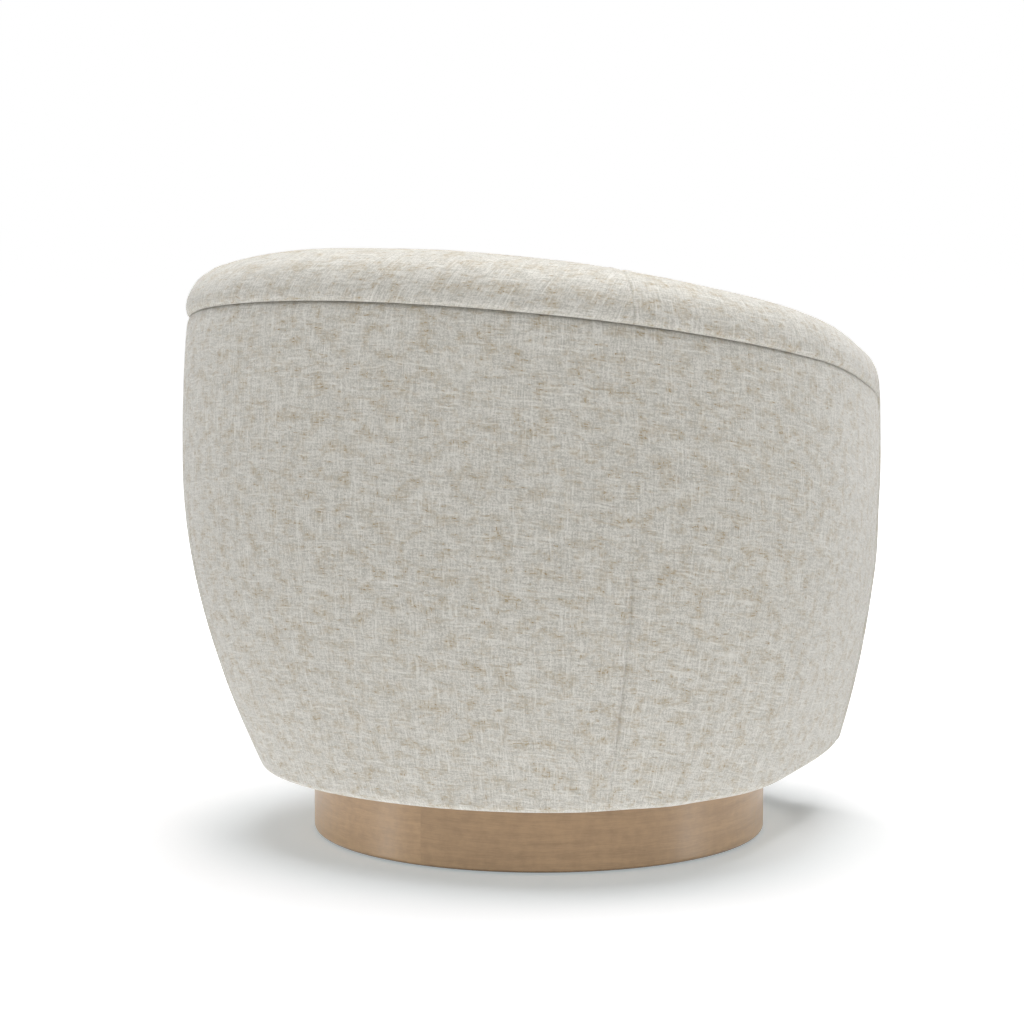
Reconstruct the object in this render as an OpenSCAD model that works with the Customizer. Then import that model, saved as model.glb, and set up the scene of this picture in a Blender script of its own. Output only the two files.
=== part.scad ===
// Swivel barrel armchair: a round plinth, a ball-bearing swivel plate and an upholstered barrel body.
// The swivel axis is Z, the floor is z = 0, and the sitter faces -Y.

/* [Plan of the body] */
// Distance from the swivel axis to the outermost back
back_reach = 421; // [380:1:460]
// Plan radius of the back
back_radius = 487; // [440:1:540]
// Heading at which the back turns into the shoulder
back_heading = 34.2; // [28:0.1:40]
// Plan radius of the shoulders
shoulder_radius = 316; // [280:1:350]
// Heading at which the shoulder turns into the side
shoulder_heading = 76; // [70:0.5:82]
// Plan radius of the sides
side_radius = 416; // [360:1:480]
// Heading at which the side turns into the arm
side_heading = 101; // [96:0.5:104]
// Plan radius of the arms
arm_radius = 1375; // [1000:5:1700]
// Heading of the arm where its front begins
arm_heading = 111.5; // [109:0.5:114]
// Plan radius of the front corners under the arms
corner_radius = 51; // [40:1:70]
// Heading at which the corner turns into the bowed front
corner_heading = 138; // [134:0.5:142]
// Heading of the seams that divide the back from the sides
panel_heading = 43; // [40:0.5:46]

/* [Side profile of the body] */
// Height of the underside of the body above the floor
body_bottom = 85.5; // [82:0.5:90]
// Height at which the body is widest
widest_z = 454; // [430:1:475]
// How far the underside is drawn in at the back
taper_back = 73.5; // [60:0.5:85]
// How far the underside is drawn in at the shoulders
taper_shoulder = 93; // [80:0.5:105]
// How far the underside is drawn in at the sides
taper_side = 81; // [70:0.5:90]
// How far the underside is drawn in at the arms and the front
taper_front = 45; // [38:0.5:55]
// Radius of the rounded lower edge of the cover
hem_radius = 18; // [14:0.5:22]
// Height of the seam under the top roll at the back
seam_back_z = 667; // [650:1:690]
// Height of that seam beside the swivel axis
seam_side_z = 588; // [575:1:600]
// Rake of that seam beside the swivel axis, in degrees
seam_rake = 9.7; // [8:0.1:11]
// How far the seam drops further at the front of the arm
seam_drop = 7; // [4:0.5:10]

/* [Walls and padding] */
// Thickness of the padded back
back_wall = 142; // [130:1:155]
// Thickness of the padded arms at the front
arm_wall = 92; // [86:1:100]
// Height of the roll above its seam
roll_height = 58.5; // [50:0.5:66]
// How far the roll stands out over the panels below it
roll_overhang = 4; // [2:0.5:6]
// Bend radius under the roll where it turns down the front of the arm
roll_bend = 24; // [22:1:32]
// Thickness of the padded outer panels
outer_pad = 12; // [9:0.5:15]
// Thickness of the inner back and arm pads
inner_pad = 46; // [38:1:52]
// How far the inner pads swell towards the sitter at the deck
inner_swell = 10; // [8:0.5:16]
// Thickness of the padding on the front of the seat
front_pad = 16; // [12:0.5:20]
// Radius of the upright corners of the seat's front
front_corner = 34; // [28:1:40]

/* [Seat] */
// Height of the deck that the cushion rests on
deck_z = 300; // [285:1:315]
// Thickness of the deck pad over the springs
deck_pad_t = 14; // [10:0.5:18]
// Height of the cushion's boxing between its two edge seams
cushion_boxing = 112; // [100:1:125]
// Height of the crown over the upper edge seam
cushion_crown = 42; // [34:1:50]
// Clearance round the cushion
cushion_gap = 4; // [3:0.5:8]
// How far the boxing swells out between its seams
cushion_swell = 7; // [5:0.5:9]

/* [Frame] */
// Thickness of the plywood boards
ply = 18; // [15:1:21]
// Distance of the box that carries the springs from the front edges of the arms
box_margin = 6.4; // [5:0.2:12]
// Thickness of the hardwood seat rails
rail_t = 25; // [22:1:28]
// Height of the hardwood seat rails
rail_h = 60; // [50:1:70]
// Thickness of the bent plywood behind the front padding
apron_t = 5; // [4:0.5:6]
// Thickness of the dust cover
dust_t = 1.2; // [0.8:0.1:1.5]
// Margin of the dust cover round the swivel plate
dust_edge = 8; // [5:1:10]
// Diameter of the spring wire
wire_d = 3.8; // [3.2:0.1:4.4]
// Number of sinuous springs across the seat
spring_count = 5; // [4:1:6]
// Number of full waves in a spring
wave_count = 8; // [6:1:10]
// Half the width of a spring's waves
wave_reach = 24; // [20:1:28]
// Width of the elastic webbing bands
band_w = 50; // [40:1:60]
// Thickness of the elastic webbing bands
band_t = 1.6; // [1.2:0.1:2]

/* [Plinth] */
// Outer radius of the plinth
plinth_radius = 280; // [260:1:290]
// Height of the plinth's top above the floor
plinth_top = 78; // [74:0.5:80]
// Height of the glides under the plinth
glide_h = 1.5; // [1:0.5:4]
// Thickness of the bent wall of the plinth
plinth_wall_t = 18; // [14:1:22]
// Thickness of the bent oak face
face_t = 6; // [5:0.5:8]
// Radius of the eased lower edge of the plinth
plinth_ease = 5; // [3:0.5:5]
// Number of glue blocks inside the plinth
block_count = 8; // [6:1:10]
// Number of glides under the plinth
glide_count = 6; // [4:1:8]
// Turn of the butt joints in the oak face off the centre line
joint_turn = 2; // [-4:0.5:4]

/* [Swivel] */
// Side of the square swivel plates
plate_w = 300; // [270:1:320]
// Thickness of the swivel plates
plate_t = 2.5; // [2:0.1:3.5]
// Radius of the circle that the balls run on
race_radius = 105; // [90:1:120]
// Diameter of the bearing balls
ball_d = 8; // [7:0.5:9]
// Number of bearing balls
ball_count = 24; // [18:1:30]
// Diameter of the pivot that holds the plates together
pivot_d = 16; // [12:0.5:20]
// Distance of the screw holes from the edges of a plate
hole_margin = 23; // [18:0.5:30]
// Radius of the screw holes in the plates
hole_r = 3.5; // [3:0.1:4]

/* [Hidden] */

// Shared clearances, overruns and steps
soft_gap = 0.5;
frame_gap = 1.2;
joint_gap = 0.3;
glue_gap = 0.1;
race_gap = 0.05;
race_floor = 0.3;
pocket_gap = 0.15;
pivot_gap = 0.05;
cut_over = 1;
heading_step = 5;

// Heights that follow from the sizes above
lower_plate_z = plinth_top;
ball_z = lower_plate_z + plate_t + race_floor + race_gap + ball_d / 2;
upper_plate_z = ball_z + ball_d / 2 + race_gap + race_floor;
board_z = upper_plate_z + plate_t;
frame_z = board_z + ply;
clip_t = 1.6;
wire_z = deck_z - deck_pad_t - clip_t - 2 * joint_gap - wire_d / 2;
rail_top = wire_z - wire_d / 2 - joint_gap - clip_t;
rail_z = rail_top - rail_h;

// Headings of the ribs, and half the angle that one takes up
rib_headings = [0, 28];
side_rib_headings = [60, 84];
rib_turn = 3;

// Plan of the body: tangent arcs, placed by their heading from the middle of the back
front_heading = 180;
body_radii = [back_radius, shoulder_radius, side_radius, arm_radius, corner_radius];
body_ends = [0, back_heading, shoulder_heading, side_heading, arm_heading, corner_heading];

function total(list, i = 0) = i == len(list) ? 0 : list[i] + total(list, i + 1);

function within(a, i) = min(max(a, body_ends[i]), body_ends[i + 1]);

function chain_x(a) =
    total([for (i = [0 : len(body_radii) - 1]) body_radii[i] * (sin(within(a, i)) - sin(body_ends[i]))]);

function chain_y(a) = back_reach
    - total([for (i = [0 : len(body_radii) - 1]) body_radii[i] * (cos(body_ends[i]) - cos(within(a, i)))]);

// Bowed front: one arc that closes the chain on the centre line
bow_radius = chain_x(corner_heading) / sin(corner_heading);
bow_centre_y = chain_y(corner_heading) - bow_radius * cos(corner_heading);
bow_reach = bow_radius - bow_centre_y;

// Point at heading a, moved out by d and carried on past the heading by run
function plan(a, d = 0, run = 0) = let (b = abs(a), s = a < 0 ? -1 : 1)
    [s * (chain_x(b) + d * sin(b) + run * cos(b)), chain_y(b) + d * cos(b) - run * sin(b)];

function ease(t) = let (u = min(max(t, 0), 1)) u * u * (3 - 2 * u);

function mix(p, q, t) = p + (q - p) * ease(t);

// Side profile: how far a level lies inside the plan
taper_headings = [0, 45, 90, 130];
tapers = [taper_back, taper_shoulder, taper_side, taper_front];
taper_power_share = 1.92;
lean_reach = 9;
lean_span = 200;

function taper(b, i = 0) = i == len(tapers) - 1 || b < taper_headings[i] ? tapers[i]
    : b < taper_headings[i + 1] ? mix(tapers[i], tapers[i + 1],
        (b - taper_headings[i]) / (taper_headings[i + 1] - taper_headings[i]))
    : taper(b, i + 1);

function inset(b, z) = z < widest_z
    ? taper(b) * pow((widest_z - z) / (widest_z - body_bottom), taper_power_share)
    : lean_reach * pow((z - widest_z) / lean_span, 2);

function wall(a) = mix(back_wall, arm_wall, (abs(a) - back_heading) / (arm_heading - back_heading));

// Height of the seam under the roll
seam_bow = seam_back_z - seam_side_z - back_reach * tan(seam_rake);

function seam_z(a) = let (y = chain_y(abs(a))) seam_side_z + y * tan(seam_rake)
    + seam_bow * pow(y / back_reach, 2)
    - seam_drop * ease((abs(a) - side_heading) / (arm_heading - side_heading));

// Where the wall's layers lie, measured in from the plan
function frame_out(b, z) = inset(b, z) + outer_pad + frame_gap;

function pad_out(a) = wall(a) - inner_pad;

function frame_in(a) = pad_out(a) - band_t - 2 * joint_gap;

// The roll's cross-section: a flat base and a superellipse over it
roll_power = 2.23;
roll_points = 14;

function roll_width(a) = wall(a) + 2 * roll_overhang;

function bulge(t) = pow(max(t, 0), 2 / roll_power);

// How far the wall runs on past its last heading, up to the back of the roll
arm_run = roll_bend - soft_gap;

// Half the clear width between the fronts of the arms, where their rolls reach furthest in
roll_dual = roll_power / (roll_power - 1);
roll_foot = (roll_width(arm_heading) - taper_front) / 2;
roll_bite = pow(pow(roll_foot * sin(arm_heading), roll_dual)
    + pow(-roll_height * cos(arm_heading), roll_dual), 1 / roll_dual);
front_half_w = plan(arm_heading, roll_foot - arm_wall - roll_overhang, roll_bend)[0] - roll_bite - soft_gap;
front_face_y = plan(arm_heading, -arm_wall - roll_overhang, roll_bend)[1] - 2 * soft_gap;

// Plan of the seat's front at a level: an upright corner tangent to the bow, by steps from the arm
corner_x = front_half_w - front_corner;
return_heading = 90;
corner_steps = 5;
bow_steps = 6;
front_steps = corner_steps + bow_steps;

function bow_at(z) = bow_radius - inset(front_heading, z);

function turn_at(z) = front_heading - asin(corner_x / (bow_at(z) - front_corner));

function corner_y_at(z) = bow_centre_y - sqrt(pow(bow_at(z) - front_corner, 2) - pow(corner_x, 2));

function front_turn(i, z) = i <= corner_steps
    ? return_heading + (turn_at(z) - return_heading) * i / corner_steps
    : turn_at(z) + (front_heading - turn_at(z)) * (i - corner_steps) / bow_steps;

function front_point(i, z, d) = let (b = front_turn(i, z)) i <= corner_steps
    ? [corner_x + (front_corner + d) * sin(b), corner_y_at(z) + (front_corner + d) * cos(b)]
    : [(bow_at(z) + d) * sin(b), bow_centre_y + (bow_at(z) + d) * cos(b)];

// Rings of points, and solids made of them with flat ends
function steps(a0, a1, step = heading_step) = let (n = ceil(abs(a1 - a0) / step))
    [for (i = [0 : n]) a0 + (a1 - a0) * i / n];

function flat(lists) = [for (l = lists) each l];

function rest(list) = [for (i = [1 : len(list) - 1]) list[i]];

function mirrored(list) = [for (i = [len(list) - 1 : -1 : 1]) -list[i]];

// Headings of the rings: closer together along the arm, which is nearly straight
half_back = steps(0, panel_heading);
back_headings = concat(mirrored(half_back), half_back);
arm_headings = concat(steps(panel_heading, side_heading),
    rest(steps(side_heading, arm_heading, heading_step / 2)));
half_headings = concat(half_back, rest(arm_headings));

function ring(a, section, run = 0) =
    [for (p = section) let (q = plan(a, p[0], run)) [q[0], q[1], p[1]]];

function loop_faces(m, n) = [for (i = [0 : m - 2], j = [0 : n - 1])
    let (k = (j + 1) % n, p = i * n, q = p + n)
    each [[p + j, q + k, p + k], [p + j, q + j, q + k]]];

// An end as a strip of triangles between the two halves of its ring
function end_faces(start, n) = [for (j = [0 : floor(n / 2) - 1]) let (k = n - 1 - j)
    let (p = start + j, q = start + k)
    each concat(k - j > 2 ? [[p, p + 1, q - 1], [p, q - 1, q]]
        : k - j == 2 ? [[p, p + 1, q]] : [])];

function flipped(faces) = [for (f = faces) [f[2], f[1], f[0]]];

module swept(rings) {
    n = len(rings[0]);
    m = len(rings);
    faces = concat(loop_faces(m, n), end_faces(0, n), flipped(end_faces((m - 1) * n, n)));
    polyhedron(points = flat(rings), faces = faces);
}

module sided(side) {
    if (side < 0) mirror([1, 0, 0]) children();
    else children();
}

// Plan of the seat inside the walls: round the inner wall, then the front's corner and bow
function half_seat(level, side_d, corner_d, bow_d) = concat(
    [for (a = half_headings) plan(a, -wall(a) - side_d)],
    [plan(arm_heading, -arm_wall - side_d, arm_run)],
    [[corner_x + front_corner + corner_d, front_face_y + soft_gap]],
    [for (i = [0 : front_steps]) front_point(i, level, mix(corner_d, bow_d, i / corner_steps))]);

function seat_plan(level, side_d, corner_d, bow_d) =
    let (half = half_seat(level, side_d, corner_d, bow_d), n = len(half))
    concat(half, [for (i = [n - 2 : -1 : 1]) [-half[i][0], half[i][1]]]);

// Plinth
face_in = plinth_radius - face_t;
board_radius = face_in - plinth_wall_t;

module plinth_wall() {
    color("burlywood") rotate_extrude($fn = 180)
        translate([board_radius, glide_h]) square([plinth_wall_t - glue_gap, plinth_top - glide_h]);
}

module plinth_face_profile() {
    face_h = plinth_top - glide_h;
    translate([face_in, glide_h + plinth_ease]) square([face_t, face_h - plinth_ease]);
    translate([face_in, glide_h]) square([face_t - plinth_ease, face_h]);
    intersection() {
        translate([plinth_radius - plinth_ease, glide_h + plinth_ease]) circle(plinth_ease, $fn = 48);
        translate([face_in, glide_h]) square([face_t, face_h]);
    }
}

// Half of the bent oak face: it meets the other half in butt joints near the back and the front
module plinth_face(side) {
    reach = plinth_radius + cut_over;
    color("peru") rotate(joint_turn) sided(side) intersection() {
        rotate_extrude($fn = 180) plinth_face_profile();
        translate([0, -reach, 0]) cube([reach, 2 * reach, plinth_top + cut_over]);
    }
}

module plate_holes(spacing, r, z0, z1) {
    for (x = [-1, 1], y = [-1, 1])
        translate([x * spacing / 2, y * spacing / 2, z0]) cylinder(h = z1 - z0, r = r, $fn = 48);
}

screw_gap = 1;
screw_stop = 2;
screw_r = hole_r - screw_gap;
screw_len = ply - screw_stop;
board_hole_r = 24;
hole_spacing = plate_w - 2 * hole_margin;

module plinth_top_board() {
    color("tan") difference() {
        translate([0, 0, plinth_top - ply]) cylinder(h = ply, r = board_radius - glue_gap, $fn = 180);
        translate([0, 0, plinth_top - ply - cut_over])
            cylinder(h = ply + 2 * cut_over, r = board_hole_r, $fn = 72);
        plate_holes(hole_spacing, screw_r + glue_gap, plinth_top - screw_len, plinth_top + cut_over);
    }
}

module plinth_glue_blocks() {
    depth = plinth_wall_t + face_t;
    color("wheat") for (i = [0 : block_count - 1]) rotate(360 * (i + 1 / 2) / block_count)
        intersection() {
            translate([board_radius - depth, -depth, plinth_top - ply - 2 * depth])
                cube([2 * depth, 2 * depth, 2 * depth]);
            cylinder(h = plinth_top, r = board_radius - glue_gap, $fn = 180);
        }
}

module plinth_glides() {
    glide_r = plinth_wall_t / 3;
    color("dimgray") for (i = [0 : glide_count - 1]) rotate(360 * (i + 1 / 2) / glide_count)
        translate([board_radius + glide_r, 0, 0]) cylinder(h = glide_h, r = glide_r, $fn = 48);
}

// Swivel: two square plates with grooved races, and a ring of balls between them
race_half_w = ball_d;
race_share = 0.3;
race_h = race_share * ball_d;
plate_corner = ball_d * 2;
pivot_r = pivot_d / 2;
flange_r = pivot_d;

module rounded_plate(z) {
    reach = plate_w / 2 - plate_corner;
    translate([-reach, -plate_w / 2, z]) cube([2 * reach, plate_w, plate_t]);
    translate([-plate_w / 2, -reach, z]) cube([plate_w, 2 * reach, plate_t]);
    for (x = [-1, 1], y = [-1, 1])
        translate([x * reach, y * reach, z]) cylinder(h = plate_t, r = plate_corner, $fn = 48);
}

module race(z) {
    rotate_extrude($fn = 144) difference() {
        translate([race_radius - race_half_w, z]) square([2 * race_half_w, race_h]);
        translate([race_radius, ball_z]) circle(ball_d / 2 + race_gap, $fn = 48);
    }
}

module swivel_lower_plate() {
    color("silver") difference() {
        union() {
            rounded_plate(lower_plate_z);
            race(lower_plate_z + plate_t);
        }
        plate_holes(hole_spacing, hole_r, lower_plate_z - cut_over, lower_plate_z + plate_t + cut_over);
        translate([0, 0, lower_plate_z - cut_over])
            cylinder(h = plate_t + 2 * cut_over, r = pivot_r + glue_gap, $fn = 72);
    }
}

module swivel_upper_plate() {
    color("silver") difference() {
        union() {
            rounded_plate(upper_plate_z);
            race(upper_plate_z - race_h);
        }
        plate_holes(hole_spacing, hole_r, upper_plate_z - cut_over, upper_plate_z + plate_t + cut_over);
        translate([0, 0, upper_plate_z - cut_over])
            cylinder(h = plate_t + 2 * cut_over, r = pivot_r + pivot_gap, $fn = 72);
    }
}

module swivel_pivot() {
    top_z = upper_plate_z + plate_t + pivot_gap;
    collar_z = lower_plate_z + plate_t;
    color("gray") {
        translate([0, 0, lower_plate_z - plate_t]) cylinder(h = plate_t, r = flange_r, $fn = 72);
        translate([0, 0, lower_plate_z - plate_t])
            cylinder(h = top_z + plate_t - lower_plate_z + plate_t, r = pivot_r, $fn = 72);
        translate([0, 0, collar_z])
            cylinder(h = upper_plate_z - pivot_gap - collar_z, r = flange_r, $fn = 72);
        translate([0, 0, top_z]) cylinder(h = plate_t, r = flange_r, $fn = 72);
    }
}

module ring_of_balls(r) {
    for (i = [0 : ball_count - 1]) rotate(360 * i / ball_count)
        translate([race_radius, 0, ball_z]) sphere(r, $fn = 32);
}

module ball_cage() {
    cage_t = ball_d / 4;
    color("ivory") difference() {
        translate([0, 0, ball_z - cage_t / 2]) difference() {
            cylinder(h = cage_t, r = race_radius + race_half_w, $fn = 144);
            translate([0, 0, -cut_over])
                cylinder(h = cage_t + 2 * cut_over, r = race_radius - race_half_w, $fn = 144);
        }
        for (i = [0 : ball_count - 1]) rotate(360 * i / ball_count)
            translate([race_radius, 0, ball_z - cage_t])
                cylinder(h = 2 * cage_t, r = ball_d / 2 + pocket_gap, $fn = 32);
    }
}

module bearing_balls() {
    color("gainsboro") ring_of_balls(ball_d / 2);
}

head_r = 2 * screw_r + screw_gap;
screw_head_h = screw_r;
bolt_head_h = screw_r + screw_gap;

module lower_plate_screws() {
    color("gray") for (x = [-1, 1], y = [-1, 1])
        translate([x * hole_spacing / 2, y * hole_spacing / 2, 0]) {
            translate([0, 0, plinth_top - screw_len])
                cylinder(h = screw_len + plate_t, r = screw_r, $fn = 48);
            translate([0, 0, lower_plate_z + plate_t]) cylinder(h = screw_head_h, r = head_r, $fn = 48);
        }
}

module upper_plate_bolts() {
    color("gray") for (x = [-1, 1], y = [-1, 1])
        translate([x * hole_spacing / 2, y * hole_spacing / 2, 0]) {
            translate([0, 0, upper_plate_z]) cylinder(h = plate_t + screw_len, r = screw_r, $fn = 48);
            translate([0, 0, upper_plate_z - bolt_head_h]) cylinder(h = bolt_head_h, r = head_r, $fn = 6);
        }
}

// Frame of the body
frame_y = front_face_y + 2 * soft_gap;
box_half_w = front_half_w - box_margin;
leg_reach = 10;

function leg_in(a) = wall(a) + leg_reach;

rear_face_y = plan(rib_headings[1], -leg_in(rib_headings[1]))[1] - ply;

function front_edge(z, depth) = concat(
    [[corner_x + front_corner - depth, front_face_y + soft_gap]],
    [for (i = [0 : front_steps]) front_point(i, z, -depth)]);

function both_sides(half) = let (n = len(half))
    concat(half, [for (i = [n - 1 : -1 : 0]) if (half[i][0] > 0) [-half[i][0], half[i][1]]]);

module bottom_board() {
    side = [for (a = steps(0, arm_heading, heading_step / 2)) plan(a, -frame_out(a, board_z))];
    arm = [plan(arm_heading, -frame_out(arm_heading, board_z), arm_run),
        plan(arm_heading, -arm_wall - roll_overhang - 2 * soft_gap, arm_run)];
    front = front_edge(board_z, front_pad + soft_gap);
    color("tan") difference() {
        translate([0, 0, board_z]) linear_extrude(ply) polygon(both_sides(concat(side, arm, front)));
        translate([0, 0, board_z - cut_over])
            cylinder(h = ply + 2 * cut_over, r = board_hole_r, $fn = 72);
        plate_holes(hole_spacing, screw_r + glue_gap, board_z - cut_over, board_z + screw_len);
    }
}

// Black cloth under the board, from the lips of the covers to the swivel plate
module dust_cover() {
    half = plate_w / 2 + dust_edge;
    side = [for (a = half_headings) plan(a, lip_at(a) - soft_gap)];
    edge = both_sides(concat(side, front_edge(body_bottom, hem_radius + soft_gap)));
    color("black") translate([0, 0, board_z - dust_t]) difference() {
        linear_extrude(dust_t) polygon(edge);
        translate([-half, -half, -cut_over]) cube([2 * half, 2 * half, dust_t + 2 * cut_over]);
    }
}

// Stands a board on edge across the wall at heading a
module across_wall(a, run, thick) {
    place = plan(a, 0, run);
    translate([place[0], place[1], 0]) rotate([90, 0, 90 - a]) linear_extrude(thick) children();
}

function spread(p, q, n) = [for (i = [0 : n]) p + (q - p) * i / n];

rib_levels = 9;

function rib_top(a) = min(seam_z(a), seam_z(abs(a) + heading_step / 2)) - 2 * soft_gap - ply - joint_gap;

function rib_out(a, z) = max(frame_out(abs(a) - rib_turn, z), frame_out(abs(a) + rib_turn, z));

function rib_in(a) = frame_in(abs(a) + rib_turn);

module rib_outline(a, top, leg) {
    polygon(concat(
        [for (z = spread(frame_z, top, rib_levels)) [-rib_out(a, z), z]],
        [[-rib_in(a), top], [-rib_in(a), rail_top], [-leg, rail_top - ply], [-leg, frame_z]]));
}

module rib(a) {
    across_wall(a, -ply / 2, ply) rib_outline(a, rib_top(a), leg_in(a));
}

module back_ribs() {
    color("tan") {
        rib(rib_headings[0]);
        for (side = [-1, 1]) sided(side) rib(rib_headings[1]);
    }
}

module side_ribs(side) {
    color("tan") sided(side) for (a = side_rib_headings) rib(a);
}

module arm_board(side) {
    top = seam_z(arm_heading) - roll_bend - soft_gap;
    color("tan") sided(side) across_wall(arm_heading, arm_run - ply, ply)
        rib_outline(arm_heading, top, arm_wall);
}

function rail_section(a) =
    let (top = seam_z(a) - 2 * soft_gap, out = -frame_out(abs(a), top), in = -frame_in(a))
    [[out, top], [in, top], [in, top - ply], [out, top - ply]];

module top_rail_back() {
    color("burlywood") swept([for (a = back_headings) ring(a, rail_section(a))]);
}

module top_rail(side) {
    color("burlywood") sided(side) swept([for (a = arm_headings) ring(a, rail_section(a))]);
}

module front_rail() {
    half = box_half_w - rail_t;
    color("wheat") translate([-half, frame_y, rail_z]) cube([2 * half, rail_t, rail_h]);
}

module rear_rail() {
    half = box_half_w - rail_t;
    color("wheat") translate([-half, rear_face_y - rail_t, rail_z]) cube([2 * half, rail_t, rail_h]);
}

module side_rail(side) {
    color("wheat") sided(side) translate([box_half_w - rail_t, frame_y, rail_z])
        cube([rail_t, rear_face_y - frame_y, rail_h]);
}

module corner_posts() {
    post_w = rail_t + ply;
    color("wheat") for (side = [-1, 1]) sided(side) for (y = [frame_y, rear_face_y - post_w])
        translate([box_half_w - post_w, y, frame_z]) cube([post_w, post_w, rail_z - frame_z]);
}

module front_former(z) {
    edge = front_edge(z, front_pad + apron_t + 2 * soft_gap);
    translate([0, 0, z]) linear_extrude(ply) polygon(both_sides(edge));
}

module front_formers() {
    color("tan") {
        front_former(frame_z);
        front_former(rail_top - ply);
    }
}

panel_levels = 8;

// A ring of the front: each of its points is [depth, z], and step -1 is the back of the return
function front_ring(side, i, section) = [for (p = section)
    let (q = i < 0 ? [corner_x + front_corner + p[0], front_face_y] : front_point(i, p[1], p[0]))
    [side * q[0], q[1], p[1]]];

function front_rings(section) = concat(
    [for (i = [-1 : front_steps]) front_ring(1, i, section)],
    [for (i = [front_steps - 1 : -1 : -1]) front_ring(-1, i, section)]);

module front_apron() {
    out = -front_pad - soft_gap;
    color("tan") swept(front_rings(concat(
        [for (z = spread(rail_top, frame_z, panel_levels)) [out, z]],
        [for (z = spread(frame_z, rail_top, panel_levels)) [out - apron_t, z]])));
}

// Springs: one wire each, bent into even waves, held by a clip at each end
spring_y0 = frame_y + rail_t / 2;
spring_y1 = rear_face_y - rail_t / 2;
half_wave = (spring_y1 - spring_y0) / (2 * wave_count);
wave_r = half_wave / 2;
wire_sides = 6;
bend_steps = 3;

function spring_path() = concat([[-wave_reach, spring_y0]],
    [for (i = [0 : 2 * wave_count - 1], t = spread(-90, 90, bend_steps))
        let (s = i % 2 == 0 ? 1 : -1, y = spring_y0 + half_wave * (i + 1 / 2))
        [s * (wave_reach - wave_r + wave_r * cos(t)), y + wave_r * sin(t)]],
    [[wave_reach, spring_y1]]);

function unit(v) = v / norm(v);

function tube_rings(path, r, z) = let (last = len(path) - 1) [for (i = [0 : last])
    let (dir = unit(path[min(i + 1, last)] - path[max(i - 1, 0)]), nrm = [-dir[1], dir[0]])
    [for (j = [0 : wire_sides - 1]) let (t = 360 * (j + 1 / 2) / wire_sides)
        [path[i][0] + r * cos(t) * nrm[0], path[i][1] + r * cos(t) * nrm[1], z + r * sin(t)]]];

spring_pitch = 2 * (box_half_w - rail_t) / spring_count;

module each_spring() {
    for (i = [0 : spring_count - 1])
        translate([(i + 1 / 2 - spring_count / 2) * spring_pitch, 0, 0]) children();
}

module sinuous_springs() {
    color("dimgray") each_spring() swept(tube_rings(spring_path(), wire_d / 2, wire_z));
}

module spring_clip() {
    width = 4 * wire_d;
    bore = wire_d / 2 + joint_gap;
    difference() {
        union() {
            translate([-width / 2, 0, wire_z]) rotate([0, 90, 0])
                cylinder(h = width, r = bore + clip_t, $fn = 48);
            translate([-width / 2, -bore - clip_t, rail_top])
                cube([width, 2 * (bore + clip_t), clip_t]);
        }
        translate([-width / 2 - cut_over, 0, wire_z]) rotate([0, 90, 0])
            cylinder(h = width + 2 * cut_over, r = bore, $fn = 48);
    }
}

module spring_clips() {
    color("slategray") each_spring() for (y = [spring_y0, spring_y1]) translate([0, y, 0]) spring_clip();
}

// Padding and covers
module deck_pad() {
    in = -front_pad - soft_gap;
    color("gainsboro") translate([0, 0, deck_z - deck_pad_t]) linear_extrude(deck_pad_t)
        polygon(seat_plan(deck_z - deck_pad_t, inner_swell + soft_gap, in, in));
}

// Elastic bands stretched round the inside of the ribs
band_level_shares = [0.2, 0.5, 0.8];
band_head = seam_z(arm_heading) - roll_bend;

function band_section(a, z) = let (out = -frame_in(a) - joint_gap)
    [[out, z], [out - band_t, z], [out - band_t, z - band_w], [out, z - band_w]];

module wall_webbing() {
    color("saddlebrown") for (share = band_level_shares) {
        z = deck_z + (band_head - deck_z) * share + band_w / 2;
        swept(concat([ring(-arm_heading, band_section(-arm_heading, z), arm_run)],
            [for (a = concat(mirrored(half_headings), half_headings)) ring(a, band_section(a, z))],
            [ring(arm_heading, band_section(arm_heading, z), arm_run)]));
    }
}

// The wall's covers end under the roll, which bends down over the square end of the arm
function roll_drop(run) = roll_bend - sqrt(roll_bend * roll_bend - run * run);

function cover_top(a, run) = seam_z(a) - roll_bend + sqrt(arm_run * arm_run - run * run);

arm_stations = concat([for (a = arm_headings) [a, 0]],
    [for (t = [30, 60, 90]) [arm_heading, arm_run * sin(t)]]);
back_stations = [for (a = back_headings) [a, 0]];
cover_levels = 11;
hem_turns = [30, 60, 90];
hem_turn_in = 2;
hem_lip = hem_radius + hem_turn_in;

function hem_z(t) = body_bottom + hem_radius * (1 - sin(t));

function hem(d) = [for (t = hem_turns) [d - hem_radius * (1 - cos(t)), hem_z(t)]];

function lip_at(b) = -inset(b, body_bottom) - hem_radius - hem_lip;

function outer_section(a, run) = let (b = abs(a), top = cover_top(a, run),
    low = body_bottom + hem_radius, lip = lip_at(b)) concat(
    [for (z = spread(top, low, cover_levels)) [-inset(b, z), z]],
    [for (p = hem(0)) [p[0] - inset(b, p[1]), p[1]]],
    [[lip, body_bottom], [lip, board_z - joint_gap]],
    [for (z = spread(board_z - joint_gap, top, cover_levels)) [-inset(b, z) - outer_pad, z]]);

module outer_back() {
    color("beige") swept([for (s = back_stations) ring(s[0], outer_section(s[0], s[1]), s[1])]);
}

module outer_arm(side) {
    color("ivory") sided(side)
        swept([for (s = arm_stations) ring(s[0], outer_section(s[0], s[1]), s[1])]);
}

front_top_r = 12;
top_turns = [0, 45, 90];

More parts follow.
